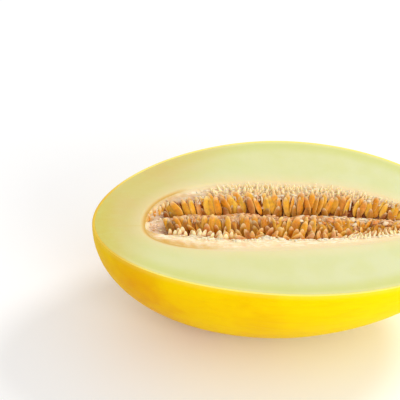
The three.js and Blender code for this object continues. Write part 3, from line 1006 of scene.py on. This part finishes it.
def hangingThread(draw, place, top, end):
    # from the top spot of the section down over the seeds to the end spot
    steps, sides = threadLook["steps"], threadLook["sides"]
    x, lean = place + draw.gauss(0, 2.6), draw.uniform(-1.5, 1.5)
    radius, tone = draw.uniform(0.22, 0.6) * mm, draw.uniform(0.15, 0.8)
    shift, reach, bulge = draw.uniform(-0.8, 0.8), draw.uniform(0.35, 1.05), draw.uniform(1.2, 2.4)
    rings = []
    for k in range(steps + 1):
        t = k / steps
        bow = bulge * math.sin(math.pi * (0.25 + 0.7 * t))
        pa = top[0] + shift + (end[0] - top[0]) * t * reach - 0.66 * bow
        height = top[1] + (end[1] - top[1]) * t * reach + 0.75 * bow - 0.9
        pa = float(wander((x + lean * t) * mm, pa))
        spot, share = sectionPoint((x + lean * t) * mm, pa, min(height, -0.1))
        thick = radius * (0.3 + 0.7 * math.sin(math.pi * (0.2 + 0.7 * t))) * (0.6 + 0.4 * share)
        turns = [2 * math.pi * i / sides for i in range(sides)]
        rings.append([(spot.x + thick * math.cos(a), spot.y - 0.5 * thick * math.sin(a),
                       spot.z + 0.5 * thick * math.sin(a)) for a in turns])
    return rings, tone


def makeThreads(material):
    draw = random.Random(62)
    verts, faces, tones = [], [], []
    for alongSpan, acrossSpan, number, lengths, radii, lift, cream in threadLook["bands"]:
        for _ in range(number):
            addTube(verts, faces, lyingThread(draw, alongSpan, acrossSpan, lengths, radii, lift))
            tones += [draw.uniform(*cream)] * (len(verts) - len(tones))
    for places, number, top, end in threadLook["veils"]:
        for place in places:
            for _ in range(number):
                rings, tone = hangingThread(draw, place, top, end)
                addTube(verts, faces, rings)
                tones += [tone] * (len(verts) - len(tones))
    return makeObject("pulpThreads", verts, faces, material, {"cream": tones}, sharpAngle=180)


# Floor, light and camera

stageLook = {
    "floor": (0.96, 0.96, 0.96, 1),
    "floorSize": 8.0,
    "worldStrength": 0.77,
    # each soft lamp: where, how wide and how strong
    "topSoft": ((0.8, 0.6, 1.0), 0.45, 7.5),
    "frontSoft": ((0.5, -1.15, 0.6), 0.8, 7),
}


def makeStage():
    material, tree, shader = newMaterial("paleFloor")
    setInputs(shader, {"Base Color": stageLook["floor"], "IOR": 1.4, "Specular IOR Level": 0.22})
    cloud = placeGroup(tree, mottle, placeNode(tree), scale=3.0)
    tree.links.new(rangeNode(tree, cloud, 0.0, 1.0, 0.3, 0.36), shader.inputs["Roughness"])
    half = stageLook["floorSize"] / 2
    corners = [(-half, -half, 0), (half, -half, 0), (half, half, 0), (-half, half, 0)]
    makeObject("floor", corners, [(0, 1, 2, 3)], material)


def addAreaLight(name, target):
    place, size, power = stageLook[name]
    light = bpy.data.lights.new(name, "AREA")
    light.shape = "DISK"
    light.size = size
    light.energy = power
    lamp = bpy.data.objects.new(name, light)
    lamp.location = place
    lamp.rotation_euler = (Vector(target) - Vector(place)).to_track_quat("-Z", "Y").to_euler()
    bpy.context.scene.collection.objects.link(lamp)


def makeLight():
    world = bpy.data.worlds.new("studio")
    world.use_nodes = True
    setInputs(world.node_tree.nodes["Background"], {
        "Color": (1, 1, 1, 1), "Strength": stageLook["worldStrength"],
    })
    bpy.context.scene.world = world
    for name in ("topSoft", "frontSoft"):
        addAreaLight(name, (0, 0, faceZ))
    settings = bpy.context.scene.view_settings
    settings.view_transform = "Standard"
    settings.look = "None"
    settings.exposure = 0.0


# The photograph's view of the cut face, measured from the face's middle
view = {
    "azimuth": -12.47,
    "elevation": 37.59,
    "roll": 5.0,
    "distance": 1.0,
    "aim": (-0.04902, 0.01415),
    "lens": 150.2,
    "sensor": 36.0,
}


def makeCamera():
    data = bpy.data.cameras.new("camera")
    data.sensor_width = view["sensor"]
    data.lens = view["lens"]
    data.clip_start = 0.01
    camera = bpy.data.objects.new("camera", data)
    bpy.context.scene.collection.objects.link(camera)
    azimuth, elevation, roll = (math.radians(view[key]) for key in ("azimuth", "elevation", "roll"))
    middle = Vector((0, 0, faceZ))
    back = Vector((math.sin(azimuth) * math.cos(elevation), -math.cos(azimuth) * math.cos(elevation),
                   math.sin(elevation)))
    place = middle + back * view["distance"]
    ahead = (middle + Vector((*view["aim"], 0)) - place).normalized()
    right = ahead.cross(Vector((0, 0, 1))).normalized()
    up = right.cross(ahead)
    rolledRight = right * math.cos(roll) + up * math.sin(roll)
    rolledUp = up * math.cos(roll) - right * math.sin(roll)
    turn = Matrix((rolledRight, rolledUp, -ahead)).transposed()
    camera.matrix_world = Matrix.Translation(place) @ turn.to_4x4()
    bpy.context.scene.camera = camera


pieces = []
for node, make in (("rind", makeRind), ("flesh", makeFlesh), ("pulp", makePulp)):
    say(node)
    piece = make()
    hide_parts(node)
    pieces.append(piece)

say("seeds")
amberSeeds = seedMaterial()
for order, (bunch, rows) in enumerate(seedRows.items()):
    seeds = makeSeeds(f"{bunch}Seeds", rows, 40 + order, amberSeeds)
    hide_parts(f"seeds_{bunch}")
    pieces.append(seeds)

say("crumbs and threads")
shred = shredMaterial()
for piece in (makeCrumbs(shred), makeThreads(shred)):
    pieces.append(piece)

for piece in pieces:
    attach(piece, "root")

say("stage, light and camera")
makeStage()
makeLight()
makeCamera()
